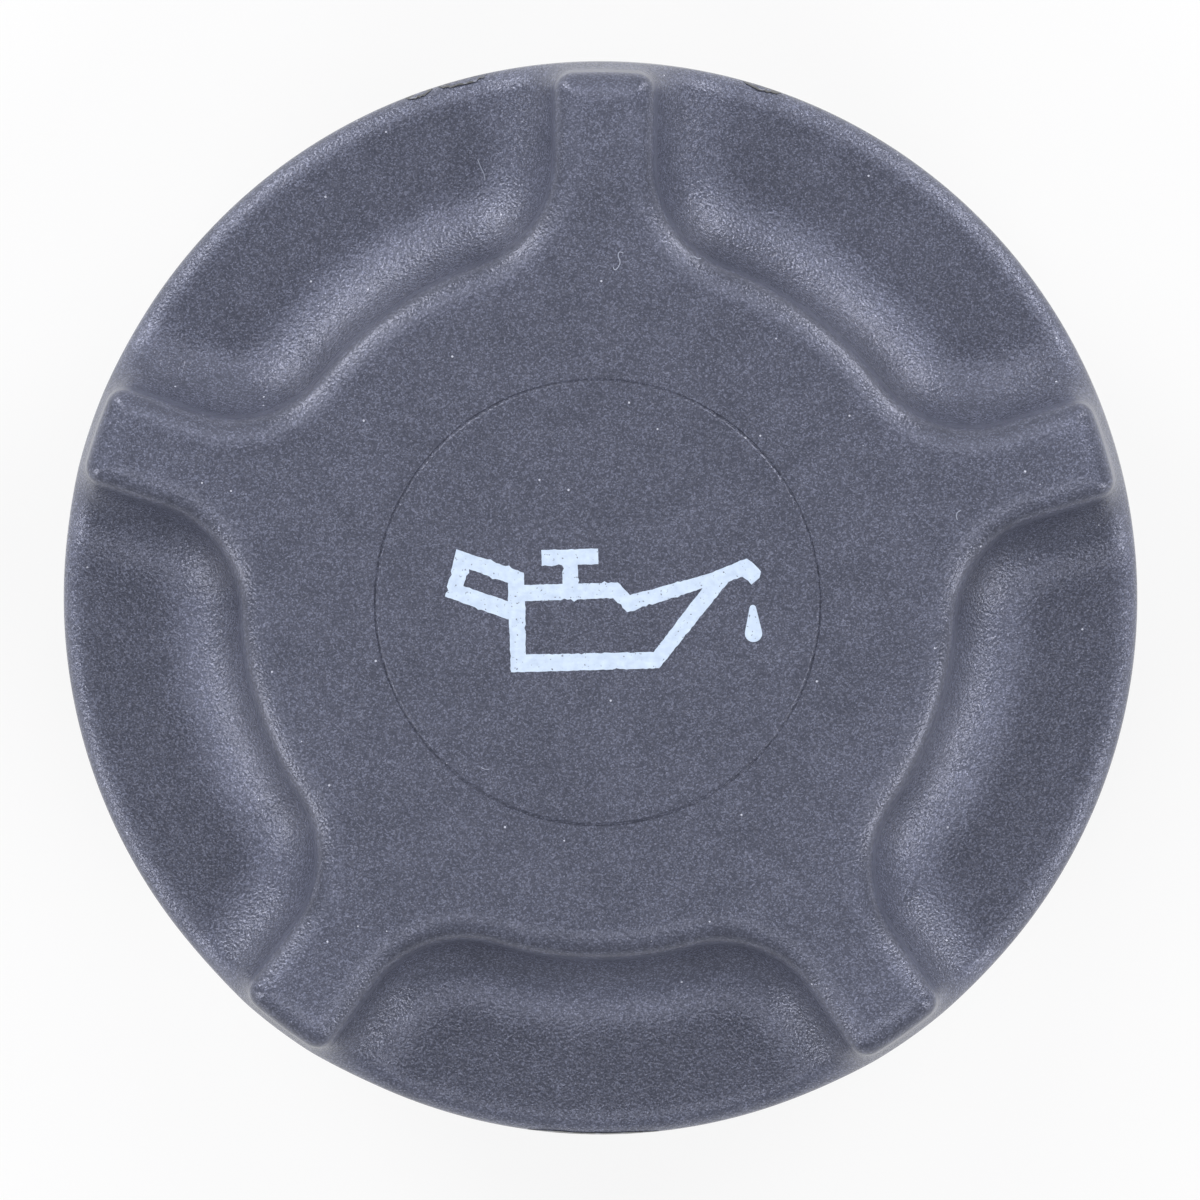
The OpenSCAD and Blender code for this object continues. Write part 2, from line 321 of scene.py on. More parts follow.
def finish_mesh(piece, smooth_deg=30):
    """Merges doubles, turns the faces outward and smooths the shading of what isn't an edge."""
    bpy.ops.object.mode_set(mode="EDIT")
    bpy.ops.mesh.select_all(action="SELECT")
    bpy.ops.mesh.remove_doubles(threshold=DOUBLE)
    bpy.ops.mesh.normals_make_consistent(inside=False)
    bpy.ops.object.mode_set(mode="OBJECT")
    bpy.ops.object.shade_smooth_by_angle(angle=math.radians(smooth_deg))
    return piece


def bent_grid(name, rows):
    """A grid bent to rows of points, and closed where they meet; it keeps their polish, and their paleness
    from fingers' rubbing with painted light and shade.
    """
    deselect()
    bpy.ops.mesh.primitive_grid_add(x_subdivisions=rows.shape[1] - 1, y_subdivisions=rows.shape[0] - 1)
    piece = bpy.context.object
    piece.name = name
    piece.data.vertices.foreach_set("co", rows[..., :3].astype(np.float32).ravel())
    # The second layer holds fingers' wear together with painted highlight and painted shade
    for column, layer_key in ((3, "polish"), (4, "wear_and_painted_light")):
        layer_values = piece.data.attributes.new(layer_key, "FLOAT", "POINT")
        layer_values.data.foreach_set("value", rows[..., column].astype(np.float32).ravel())
    piece.data.update()
    return finish_mesh(piece)


def cube(name, low, high):
    """A box between two corners given in millimetres."""
    deselect()
    size = [(b - a) * MM for a, b in zip(low, high)]
    centre = [(a + b) / 2 * MM for a, b in zip(low, high)]
    bpy.ops.mesh.primitive_cube_add(size=1, location=centre, scale=size)
    bpy.ops.object.transform_apply()
    bpy.context.object.name = name
    return bpy.context.object


def turned_copies(piece, angles):
    """Copies of a piece turned about the cap's axis, joined with each other."""
    made = []
    for a in angles:
        copy = piece.copy()
        copy.data = piece.data.copy()
        SCENE.collection.objects.link(copy)
        copy.data.transform(Matrix.Rotation(a, 4, "Z"))
        made.append(copy)
    bpy.data.objects.remove(piece)
    choose(*made)
    bpy.ops.object.join()
    return made[0]


def combine(piece, tool, operation):
    """Cuts a tool out of a piece, or fuses it to the piece."""
    choose(piece)
    modifier = piece.modifiers.new("boolean", "BOOLEAN")
    modifier.object = tool
    modifier.operation = operation
    modifier.solver = "EXACT"
    bpy.ops.object.modifier_apply(modifier=modifier.name)
    bpy.data.objects.remove(tool)


def round_edges(piece, test, radius, segments=3):
    """Rounds the edges whose two ends pass a test in millimetres."""
    choose(piece)
    bpy.ops.object.mode_set(mode="EDIT")
    bpy.ops.mesh.select_mode(type="EDGE")
    bpy.ops.mesh.select_all(action="DESELECT")
    mesh = bmesh.from_edit_mesh(piece.data)
    for edge in mesh.edges:
        edge.select = all(test(*(vert.co / MM)) for vert in edge.verts)
    bmesh.update_edit_mesh(piece.data)
    bpy.ops.mesh.bevel(
        offset=radius * MM, segments=segments, profile=0.5, affect="EDGES", clamp_overlap=True)
    bpy.ops.object.mode_set(mode="OBJECT")


def bisect(piece, at, normal):
    """Cuts away what lies on a plane's far side and closes the cut."""
    choose(piece)
    bpy.ops.object.mode_set(mode="EDIT")
    bpy.ops.mesh.select_all(action="SELECT")
    bpy.ops.mesh.bisect(plane_co=Vector(at) * MM, plane_no=normal, use_fill=True, clear_outer=True)
    bpy.ops.object.mode_set(mode="OBJECT")


def draw_face(name, points):
    """A flat face whose outline is drawn point by point in millimetres; it stays in edit mode."""
    deselect()
    bpy.ops.mesh.primitive_plane_add(size=1)
    piece = bpy.context.object
    piece.name = name
    bpy.ops.object.mode_set(mode="EDIT")
    bpy.ops.mesh.select_mode(type="VERT")
    bpy.ops.mesh.select_all(action="SELECT")
    bpy.ops.mesh.merge(type="CENTER")
    bpy.ops.transform.translate(value=Vector(points[0]) * MM)
    for here, there in zip(points, points[1:]):
        step = (Vector(there) - Vector(here)) * MM
        bpy.ops.mesh.extrude_region_move(TRANSFORM_OT_translate={"value": step})
    bpy.ops.mesh.select_all(action="SELECT")
    bpy.ops.mesh.edge_face_add()
    return piece


def profile(name, points):
    """A face drawn in the plane of X and Z; a third value rounds that corner."""
    piece = draw_face(name, [(r, 0, z) for r, z, *_ in points])
    for r, z, radius in [p for p in points if len(p) == 3]:
        bpy.ops.mesh.select_all(action="DESELECT")
        mesh = bmesh.from_edit_mesh(piece.data)
        for vert in mesh.verts:
            vert.select = (vert.co - Vector((r, 0, z)) * MM).length < DOUBLE / 2
        bmesh.update_edit_mesh(piece.data)
        bpy.ops.mesh.bevel(offset=radius * MM, segments=4, profile=0.5, affect="VERTICES")
    return piece


def spin(piece, angle=2 * math.pi, steps=144, keep_faces=False):
    """Turns a profile about the cap's axis; a full turn keeps only the skin."""
    bpy.ops.mesh.select_all(action="SELECT")
    if not keep_faces:
        bpy.ops.mesh.delete(type="ONLY_FACE")
        bpy.ops.mesh.select_all(action="SELECT")
    bpy.ops.mesh.spin(steps=steps, angle=angle, center=(0, 0, 0), axis=(0, 0, 1))
    bpy.ops.mesh.select_all(action="SELECT")
    bpy.ops.mesh.remove_doubles(threshold=DOUBLE)
    bpy.ops.mesh.normals_make_consistent(inside=False)
    bpy.ops.object.mode_set(mode="OBJECT")
    return piece


def knob_skin():
    """The knob's skin: the disc with the insert's line, the recesses, the skirt and the hollow."""
    knob = bent_grid("knob_moulding", whole_turn(half_recess()))
    choose(knob, bent_grid("insert_disc", insert_disc()))
    bpy.ops.object.join()
    bpy.ops.object.mode_set(mode="EDIT")
    bpy.ops.mesh.select_mode(type="EDGE")
    bpy.ops.mesh.select_all(action="DESELECT")
    bpy.ops.mesh.select_non_manifold()
    bpy.ops.mesh.fill()
    bpy.ops.object.mode_set(mode="OBJECT")
    return finish_mesh(knob)


# Levels and radii of the plug and the seal, which the photograph does not show
_, plug_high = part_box("bayonet_plug")
seal_low, seal_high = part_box("seal_ring")
FLANGE_R = plug_high.x / MM
SEAL_R = seal_high.x / MM
FLANGE_Z = seal_high.z / MM
SEAL_Z = seal_low.z / MM
LAND_R = 20.5
LAND_Z = SEAL_Z - 4
SEAL_IN_R = LAND_R - 0.4
NECK_R = 18.3
NECK_WALL = 2.5
BORE_R = NECK_R - NECK_WALL
# The lugs grip the engine's filler neck GRIP below the seal's face
GRIP = 9
LUGS = 3
LUG_R = 20.2
LUG_H = 4
LUG_Z = SEAL_Z - GRIP - LUG_H
LUG_ANGLE = math.radians(40)
LUG_RAMP = math.radians(9)
# The crossed ribs inside the plug, and the boss where they cross
RIB_T = 1.8
RIB_Z = 5
BOSS_R = 3.5
# The slots in the spokes, which the plug's keys fill; the keys' height
SLOT_W = 2.2
SLOT_EDGE_R = 0.4
KEY_H = 4
# The short ribs inside the skirt: each spoke's own rib has a snap barb under the flange, and PLAIN_RIBS
# without one stand between two of those
SKIRT_RIB_T = 1.4
RIB_FOOT = 0.7
PLAIN_RIBS = 2
BARB_REACH = 0.55
BARB_H = 1.2
BARB_LIP = 0.4
# Lead-in bevels, clearance between the pieces, and the rounding of small edges
LEAD = 0.6
FIT = 0.15
SMALL_R = 0.3
# How deep a part sinks into the one that it is fused with, and how far crossing faces are kept apart
SUNK = 0.3
APART = 0.02
# Turned profiles start just off the axis
AXIS_R = 0.001


def spoke_slots():
    """Bars that hollow out the spokes from below."""
    end = END_R - WALL
    bar = cube("slot_bar", (HOLLOW_R - 1, -SLOT_W / 2, DECK_Z - 2), (end, SLOT_W / 2, HOLLOW_Z))
    round_edges(bar, lambda x, y, z: x > end - 0.1 or z > HOLLOW_Z - 0.1, SLOT_EDGE_R)
    return turned_copies(bar, SPOKES)


def skirt_rib(barbed):
    """A short rib inside the skirt that centres the flange, with a snap barb under it or without."""
    half = SKIRT_RIB_T / 2
    inner = FLANGE_R + FIT
    barb_z = FLANGE_Z - FIT
    rib = cube("skirt_rib", (inner, -half, barb_z - 3 * RIB_FOOT), (SKIRT_IN_R + SUNK, half, DECK_Z + SUNK))
    bisect(rib, (inner, 0, barb_z - 2 * RIB_FOOT), (-RIB_FOOT, 0, -(SKIRT_IN_R - RIB_FOOT - inner)))
    if barbed:
        barb = cube("barb", (inner - BARB_REACH, -half, barb_z - BARB_H), (inner + 0.2, half, barb_z))
        bisect(barb, (inner - BARB_REACH, 0, barb_z - BARB_LIP), (BARB_LIP - BARB_H, 0, -BARB_REACH))
        combine(rib, barb, "UNION")
    round_edges(rib, lambda x, y, z: x < SKIRT_IN_R and z < DECK_Z, 0.12, 2)
    return rib


def knob_moulding():
    """The knob, hollowed out under its spokes, with the ribs and barbs inside its skirt."""
    knob = knob_skin()
    combine(knob, spoke_slots(), "DIFFERENCE")
    step = 2 * HALF_PITCH / (PLAIN_RIBS + 1)
    for barbed, places in ((True, [0]), (False, range(1, PLAIN_RIBS + 1))):
        angles = [a + step * i for a in SPOKES for i in places]
        combine(knob, turned_copies(skirt_rib(barbed), angles), "UNION")
    choose(knob)
    return finish_mesh(knob)


def plug_shell():
    """Flange, web, land and neck of the plug, in one turned shell."""
    groove_r = SEAL_IN_R - FIT
    return spin(profile("bayonet_plug_moulding", [
        (AXIS_R, DECK_Z), (FLANGE_R, DECK_Z, SMALL_R), (FLANGE_R, FLANGE_Z, SMALL_R), (groove_r, FLANGE_Z),
        (groove_r, SEAL_Z + 0.4), (LAND_R, SEAL_Z - FIT, 0.15), (LAND_R, LAND_Z, LEAD),
        (NECK_R, LAND_Z, SMALL_R), (NECK_R, 0, LEAD), (BORE_R, 0, 0.4), (BORE_R, FLANGE_Z, 0.8),
        (AXIS_R, FLANGE_Z)]))


def crossed_rib(second):
    """One of the two ribs that cross inside the plug."""
    long, short = BORE_R + SUNK, RIB_T / 2
    x, y = (short, long) if second else (long, short)
    apart = APART * second
    rib = cube("rib", (-x, -y, RIB_Z + apart), (x, y, FLANGE_Z + SUNK + apart))
    round_edges(rib, lambda x, y, z: z < RIB_Z + 0.1, SMALL_R)
    return rib


def rib_boss():
    """The round boss where the ribs cross, which ends a little lower than they do."""
    low, high = RIB_Z - 0.3, FLANGE_Z + 0.4
    deselect()
    bpy.ops.mesh.primitive_cylinder_add(
        vertices=64, radius=BOSS_R * MM, depth=(high - low) * MM, location=(0, 0, (high + low) / 2 * MM))
    bpy.ops.object.transform_apply()
    boss = bpy.context.object
    round_edges(boss, lambda x, y, z: z < low + 0.1, SMALL_R)
    return boss


def bayonet_lug(azimuth):
    """A lug with a bevelled foot, whose top is a ramp that draws the cap down on its seal."""
    inner, top = NECK_R - SUNK, LUG_Z + LUG_H
    lug = profile("lug", [(inner, LUG_Z), (LUG_R, LUG_Z, LEAD), (LUG_R, top), (inner, top)])
    spin(lug, LUG_ANGLE, 16, keep_faces=True)
    lug.data.transform(Matrix.Rotation(-LUG_ANGLE / 2, 4, "Z"))
    bisect(lug, (BORE_R, 0, top), (0, -math.sin(LUG_RAMP), math.cos(LUG_RAMP)))
    round_edges(lug, lambda x, y, z: math.hypot(x, y) > LUG_R - 0.05 and z > LUG_Z + 1, 0.2, 2)
    lug.data.transform(Matrix.Rotation(azimuth, 4, "Z"))
    return lug


def slot_key(azimuth):
    """A key that reaches up into the slot of a spoke."""
    half = SLOT_W / 2 - FIT
    key = cube("key", (HOLLOW_R, -half, DECK_Z - SUNK), (FLANGE_R - LEAD, half, DECK_Z + KEY_H))
    round_edges(key, lambda x, y, z: z > DECK_Z + 1, SMALL_R, 2)
    key.data.transform(Matrix.Rotation(azimuth, 4, "Z"))
    return key


def bayonet_plug():
    """The plug: its shell with crossed ribs, a boss, ramped lugs and keys."""
    plug = plug_shell()
    for second in (False, True):
        combine(plug, crossed_rib(second), "UNION")
    combine(plug, rib_boss(), "UNION")
    for i in range(LUGS):
        combine(plug, bayonet_lug(math.radians(90) + i * math.radians(360 / LUGS)), "UNION")
    for a in SPOKES:
        combine(plug, slot_key(a), "UNION")
    choose(plug)
    return finish_mesh(plug, 35)


def seal_ring():
    """The rubber face seal, with a bevelled sealing face and slightly rounded corners."""
    bevel, corner = 0.8, 0.15
    seal = spin(profile("seal_rubber", [
        (SEAL_IN_R, FLANGE_Z, corner), (SEAL_IN_R, SEAL_Z, bevel),
        (SEAL_R, SEAL_Z, bevel), (SEAL_R, FLANGE_Z, corner)]))
    return finish_mesh(seal, 40)


# The oil-can sign in millimetres about the cap's axis, before its own slight turn
SIGN_TURN = math.radians(2.35)
CAN = [
    (-8.55, 3.5), (-4.45, 1.95), (-4.45, 1.2), (-2.1, 1.2), (-2.1, 2.33), (-3.35, 2.33), (-3.35, 3.3),
    (0.12, 3.3), (0.12, 2.35), (-1.15, 2.35), (-1.15, 1.2), (1.27, 1.2), (2, 0.4), (6.7, 1.53), (9.2, 2.45),
    (9.6, 2.15), (10.05, 1.63), (9.95, 1.25), (9.45, 0.85), (9.25, 1.1), (8.9, 1.35), (8.05, 1.05),
    (3.66, -4.12), (-5.4, -4.12), (-5.45, -0.9), (-9.33, 0.64)]
HANDLE_HOLE = [(-7.81, 2.25), (-5.44, 1.36), (-5.47, 0.23), (-8.19, 1.23)]
WINDOW = [(-4.46, -3.06), (3.34, -3.12), (6.46, 0.71), (1.8, -0.65), (0.96, 0.24), (-4.42, 0.2)]
# The drop: two rounds above each other, each with its middle's height and its radius
DROP_X = 9.49
DROP_TOP = (-0.6, 0.2)
DROP_LOW = (-2.15, 0.53)
# The ink's edge: steps along it and their wander, and the share and length of the hairs where ink ran out
INK_STEP = 0.2
INK_WANDER = 0.016
HAIR_SHARE = 0.05
HAIR_LENGTH = (0.05, 0.12)
draws = np.random.default_rng(7)


def ragged(points):
    """A printed outline: the ink's edge wanders with the grain and runs out here and there in a hair."""
    made = []
    for here, there in zip(points, points[1:] + points[:1]):
        here, there = np.array(here), np.array(there)
        length = np.linalg.norm(there - here)
        across = np.array([there[1] - here[1], here[0] - there[0]]) / length
        count = max(2, round(length / INK_STEP))
        for k in range(count):
            wander = draws.normal(0, INK_WANDER)
            if draws.random() < HAIR_SHARE:
                wander += draws.choice([-1, 1]) * draws.uniform(*HAIR_LENGTH)
            at_corner = k == 0
            made.append(here + (there - here) * k / count + across * wander * (0.4 if at_corner else 1))
    return made


def ink_plate(name, points):
    """A thin plate of ink on the disc."""
    c, s = math.cos(SIGN_TURN), math.sin(SIGN_TURN)
    turn = np.array([[c, s], [-s, c]])
    plate = draw_face(name, [(*(np.array(point) @ turn), INSERT_Z - INK) for point in points])
    bpy.ops.mesh.extrude_region_move(TRANSFORM_OT_translate={"value": (0, 0, 2 * INK * MM)})
    bpy.ops.mesh.select_all(action="SELECT")
    bpy.ops.mesh.normals_make_consistent(inside=False)
    bpy.ops.object.mode_set(mode="OBJECT")
    return plate


def drop_outline():
    """The drop, a small round above a larger one, joined by the lines that touch both."""
    (top_y, top_r), (low_y, low_r) = DROP_TOP, DROP_LOW
    lean = math.asin((low_r - top_r) / (top_y - low_y))
    top = arc(top_r, np.linspace(lean, math.pi - lean, 6), (DROP_X, top_y))
    low = arc(low_r, np.linspace(math.pi - lean, 2 * math.pi + lean, 14), (DROP_X, low_y))
    return [*top, *low]


def oil_can_sign():
    """The can with its handle and spout, and the drop that falls from it."""
    sign = ink_plate("oil_can_print", ragged(CAN))
    for points in (HANDLE_HOLE, WINDOW):
        hole = ink_plate("hole", ragged(points))
        # Three times as thick about the same middle, so that it cuts through
        lowered = Matrix.Translation((0, 0, -INSERT_Z * MM * 2 / 3))
        hole.data.transform(Matrix.Diagonal((1, 1, 3, 1)) @ lowered)
        combine(sign, hole, "DIFFERENCE")
    choose(sign, ink_plate("drop", drop_outline()))
    bpy.ops.object.join()
    return finish_mesh(sign)


# Lint fibres caught in the grain: points in plan in millimetres about the cap's axis
FIBRE_R = 0.03
FIBRES = (
    ((1.3, 21.4), (1.05, 21.55), (0.95, 21.2), (1.15, 20.9), (1.0, 20.5), (0.75, 20.3), (0.7, 20.55)),
    ((-7.85, 26.9), (-7.75, 26.6), (-7.55, 26.2), (-7.4, 25.9), (-7.38, 25.6)),
    ((5.4, 21.25), (5.65, 21.3), (5.8, 21.1), (6.05, 21.15)),
    ((22.15, 5.95), (21.95, 5.85), (21.85, 5.6), (21.95, 5.35)),
    ((-7.0, -10.2), (-6.7, -10.35), (-6.5, -10.3)))
# Fibres that start farther out than this lie in a recess
RECESSED_R = 25


def turn_to_half(point):
    """The turn, and mirror where needed, that brings a place in plan into the half recess beside +X."""
    azimuth = math.atan2(point[1], point[0])
    pitch = 2 * HALF_PITCH
    angle = (azimuth - SPOKES[0]) % pitch
    back = angle - azimuth
    turn = np.array([[math.cos(back), math.sin(back)], [-math.sin(back), math.cos(back)]])
    if angle > HALF_PITCH:
        turn = turn @ np.array([[math.cos(pitch), math.sin(pitch)], [math.sin(pitch), -math.cos(pitch)]])
    return turn


def fibre_on_surface(points):
    """One fine fibre that lies on the surface below it."""
    plan = np.array(points)
    recessed = math.hypot(*plan[0]) > RECESSED_R
    rests = relief(plan @ turn_to_half(plan[0])) if recessed else np.full(len(plan), TOP_Z)
    places = np.column_stack([plan * MM, (rests + FIBRE_R / 2) * MM, np.ones(len(plan))])
    deselect()
    bpy.ops.curve.primitive_nurbs_path_add()
    fibre = bpy.context.object
    fibre.data.splines.clear()
    spline = fibre.data.splines.new("NURBS")
    spline.points.add(len(points) - 1)
    spline.points.foreach_set("co", places.astype(np.float32).ravel())
    spline.use_endpoint_u = True
    spline.order_u = 3
    fibre.data.dimensions = "3D"
    fibre.data.resolution_u = 6
    fibre.data.bevel_depth = FIBRE_R * MM
    fibre.data.bevel_resolution = 1
    fibre.data.use_fill_caps = True
    bpy.ops.object.convert(target="MESH")
    return bpy.context.object


def lint():
    """All fibres in one piece."""
    made = [fibre_on_surface(points) for points in FIBRES]
    choose(*made)
    bpy.ops.object.join()
    bpy.ops.object.transform_apply()
    made[0].name = "lint_fibres"
    return finish_mesh(made[0], 60)


# Slivers of flash on the rim's parting line: azimuth and span in degrees, and width in millimetres
FLASH = ((105.6, 5.4, 0.42), (73.2, 4.2, 0.26), (-90, 14, 0.14), (110.5, 3, 0.3))
FLASH_STATIONS = 13
# Their section: the share of the width that a point lies inward, and its height over the rim's rounding
FLASH_SECTION = ((0, 0), (0, 0.04), (1, 0.1), (1, 0.0), (0.5, -0.2), (0, 0))


def flash_sliver(azimuth, span, width):
    """A thin torn sliver that stands off the rim and runs out at both ends."""
    angles = np.radians(azimuth + span * np.linspace(-0.5, 0.5, FLASH_STATIONS))
    swell = np.sin(np.linspace(0, math.pi, FLASH_STATIONS)) ** 0.6
    full = width * swell * draws.uniform(0.6, 1.0, FLASH_STATIONS) + 0.01
    rows = []
    for inward, rise in FLASH_SECTION:
        radius = CAP_R - 0.015 - inward * full
        over = np.clip(radius - (CAP_R - RIM_R), 0, RIM_R)
        z = FLOOR_Z - RIM_R + np.sqrt(np.maximum(RIM_R ** 2 - over ** 2, 0)) + rise
        rows.append(np.column_stack([arc(radius, angles), z]))
    rows = np.array(rows)
    return bent_grid("flash_sliver", np.dstack([rows * MM, np.zeros((*rows.shape[:2], 2))]))


def rim_flash():
    """All slivers in one piece."""
    slivers = [flash_sliver(*each) for each in FLASH]
    choose(*slivers)
    bpy.ops.object.join()
    slivers[0].name = "rim_flash"
    return slivers[0]


knob = knob_moulding()
plug = bayonet_plug()
seal = seal_ring()
sign = oil_can_sign()
fibres = lint()
flash = rim_flash()
for piece, solid, slot in (
        (knob, "knob", "knob"), (plug, "bayonet_plug", "plug"), (seal, "seal_ring", "seal")):
    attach(piece, "root")
    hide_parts(solid)
for piece in (sign, fibres, flash):
    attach(piece, "root")


def node(tree, kind, links=None, **settings):
    """Adds a node with its settings, and links or sets its inputs by name or number."""
    made = tree.nodes.new(kind)
    for name, value in settings.items():
        setattr(made, name, value)
    for socket, source in (links or {}).items():
        if isinstance(source, bpy.types.NodeSocket):
            tree.links.new(source, made.inputs[socket])
        else:
            made.inputs[socket].default_value = source
    return made


def new_material(name, **shader_values):
    """A material with a Principled shader that has these values, and its Object coordinates."""
    mat = bpy.data.materials.new(name)
    mat.use_nodes = True
    shader = mat.node_tree.nodes["Principled BSDF"]
    for socket, value in shader_values.items():
        shader.inputs[socket.replace("_", " ")].default_value = value
    place = node(mat.node_tree, "ShaderNodeTexCoord").outputs["Object"]
    return mat, mat.node_tree, shader, place


def per_mm(spacing):
    """The scale that gives a pattern one cell in so many millimetres of Object coordinates."""
    return 1 / (spacing * MM)


def noise(tree, place, spacing, detail, distortion=0.0):
    """A soft noise, whose spacing is in millimetres."""
    links = {"Vector": place, "Scale": per_mm(spacing), "Detail": detail, "Distortion": distortion}
    return node(tree, "ShaderNodeTexNoise", links).outputs["Fac"]


def cells(tree, place, spacing):
    """Cells: how far a place lies from its cell's middle, and the cell's own random value from 0 to 1."""
    made = node(tree, "ShaderNodeTexVoronoi", {"Vector": place, "Scale": per_mm(spacing)}).outputs
    return made["Distance"], node(tree, "ShaderNodeSeparateColor", {0: made["Color"]}).outputs[0]


def calculate(tree, operation, first, second):
    """The result of an operation on two values."""
    return node(tree, "ShaderNodeMath", {0: first, 1: second}, operation=operation).outputs[0]


def remap(tree, value, before=(0, 1), after=(0, 1)):
    """A value mapped from one range to another, and kept inside it."""
    links = {"From Min": before[0], "From Max": before[1], "To Min": after[0], "To Max": after[1]}
    return node(tree, "ShaderNodeMapRange", {"Value": value, **links}).outputs[0]


def blend(tree, share, first, second, blend_type="MIX"):
    """Two colours blended by a share from 0 to 1."""
    links = {0: share, 6: first, 7: second}
    return node(tree, "ShaderNodeMix", links, data_type="RGBA", blend_type=blend_type).outputs[2]


def roughen(tree, shader, height, strength, depth):
    """Gives a surface bumps of a depth in millimetres."""
    links = {"Height": height, "Strength": strength, "Distance": depth * MM}
    tree.links.new(node(tree, "ShaderNodeBump", links).outputs[0], shader.inputs["Normal"])


def dress(piece, mat):
    piece.data.materials.clear()
    piece.data.materials.append(mat)


# Spacing and depth of the spark-eroded grain in millimetres
GRAIN = 0.18
GRAIN_DEPTH = 0.075
# Spacing of the single pale grains in millimetres, partly pale fibre ends and partly painted glints, the
# range of their tone, and how rare the palest are
FIBRE_AND_GLINT_GRAIN = 0.085
FIBRE_AND_GLINT_RANGE = (0.73, 1.81)
FIBRE_AND_GLINT_POWER = 3.0
# How much lighter fingers' wear with its painted highlight makes a place than the rest, and painted shade
# darker by as much
WEAR_AND_LIGHT_GAIN = 1.6
# Dust: spacing of its cells in millimetres, a speck's radius as a share of it, and the share of empty cells
DUST = 0.9
SPECK = 0.075
DUST_EMPTY = 0.9


def grained_nylon():
    """PA6 with glass fibre, moulded in a spark-eroded mould: a fine pebbled grain that glints on slopes,
    with painted glints among its pale grains; polished by fingers on the star's edge, which has a painted
    highlight on its crest and painted shade below; paler in a band of the fillets, partly from fingers'
    rubbing and partly a painted highlight; with sparse pale dust."""
    mat, tree, shader, place = new_material(
        "grained_glass_filled_nylon", IOR=1.53, Specular_Tint=colour("#e6e9ff"))
    polish = node(tree, "ShaderNodeAttribute", attribute_name="polish").outputs["Fac"]
    wear_and_painted_light = node(tree, "ShaderNodeAttribute", attribute_name="wear_and_painted_light").outputs["Fac"]

    # Turned out of the level planes, where a noise has a layer without contrast
    tilted = node(tree, "ShaderNodeMapping", {"Vector": place, "Rotation": (0.6, 0.4, 0.2)}).outputs[0]

    # The spark-eroded grain, which is lower and a little duller where it is worn
    kept = remap(tree, polish, after=(1.0, 0.15))
    craters = calculate(tree, "MULTIPLY", noise(tree, tilted, GRAIN, 1.0), kept)
    roughen(tree, shader, craters, 1.0, GRAIN_DEPTH)
    tree.links.new(remap(tree, polish, after=(0.27, 0.32)), shader.inputs["Roughness"])

    # Colour: a slow mottle of the melt, dark and pale grains with painted glints among them, and the places
    # of wear with painted highlight and painted shade
    streaks = remap(tree, noise(tree, place, 3, 5.0, 0.6), before=(0.3, 0.7))
    melt = blend(tree, streaks, colour("#4b4e5c"), colour("#535665"))
    # Pale grains: partly fibre ends, partly painted glints
    _, chance = cells(tree, tilted, FIBRE_AND_GLINT_GRAIN)
    fibre_and_painted_glints = remap(tree, calculate(tree, "POWER", chance, FIBRE_AND_GLINT_POWER), after=FIBRE_AND_GLINT_RANGE)
    # Paler with wear and painted highlight, darker with painted shade
    wear_and_light_tone = remap(tree, wear_and_painted_light, before=(-1.0, 1.0), after=(2 - WEAR_AND_LIGHT_GAIN, WEAR_AND_LIGHT_GAIN))
    grey = blend(tree, 1.0, melt, calculate(tree, "MULTIPLY", fibre_and_painted_glints, wear_and_light_tone), "MULTIPLY")

    # Dust: pale specks about a tenth of a millimetre wide, in few of the cells
    off, chance = cells(tree, place, DUST)
    speck = calculate(tree, "LESS_THAN", off, SPECK)
    dust = calculate(tree, "MULTIPLY", speck, calculate(tree, "GREATER_THAN", chance, DUST_EMPTY))
    tree.links.new(blend(tree, dust, grey, colour("#b9bccb")), shader.inputs["Base Color"])
    return mat


def pad_ink():
    """White pad-printing ink on the grain: thin, matt and faintly blue, with dark pits where it missed the
    deepest grain."""
    mat, tree, shader, place = new_material("white_pad_printing_ink", Roughness=0.55, IOR=1.5)
    craters = noise(tree, place, 0.2, 1.0)
    ink = blend(tree, noise(tree, place, 0.5, 2.0), colour("#aabad2"), colour("#d2e1f5"))
    tone = blend(tree, remap(tree, craters, before=(0.24, 0.33)), colour("#5a5e6c"), ink)
    tree.links.new(tone, shader.inputs["Base Color"])
    roughen(tree, shader, craters, 1.0, 0.03)
    return mat


def cotton_lint():
    """Cotton lint: pale, matt fibre with a slightly uneven colour along it."""
    mat, tree, shader, place = new_material("cotton_lint", Roughness=0.8, IOR=1.5)
    tone = blend(tree, noise(tree, place, 0.3, 1.0), colour("#82879a"), colour("#a4a9ba"))
    tree.links.new(tone, shader.inputs["Base Color"])
    return mat


def torn_nylon():
    """Flash torn off the parting line: thin smooth nylon, near-black as painted shade along the parting
    line, with pale patches as painted highlights.
    """
    mat, tree, shader, place = new_material("torn_nylon_flash", Roughness=0.3, IOR=1.53)
    painted_highlight_marks = remap(tree, noise(tree, place, 0.5, 2.0), before=(0.55, 0.62))
    # Near-black for painted shade along the parting line, pale patches for painted highlights
    tone = blend(tree, painted_highlight_marks, colour("#17181d"), colour("#6c7080"))
    tree.links.new(tone, shader.inputs["Base Color"])
    return mat


def satin_nylon():
    """PA6 with glass fibre from a polished mould: satin black, with a faint flow of fibre in it."""
    mat, tree, shader, place = new_material("satin_black_nylon", Roughness=0.38, IOR=1.53)
    flow = node(tree, "ShaderNodeMapping", {"Vector": place, "Scale": (1, 1, 0.35)}).outputs[0]
    fibre = noise(tree, flow, 1.2, 4.0)
    tree.links.new(blend(tree, fibre, colour("#2a2c31"), colour("#33353b")), shader.inputs["Base Color"])
    roughen(tree, shader, fibre, 0.6, 0.02)
    return mat


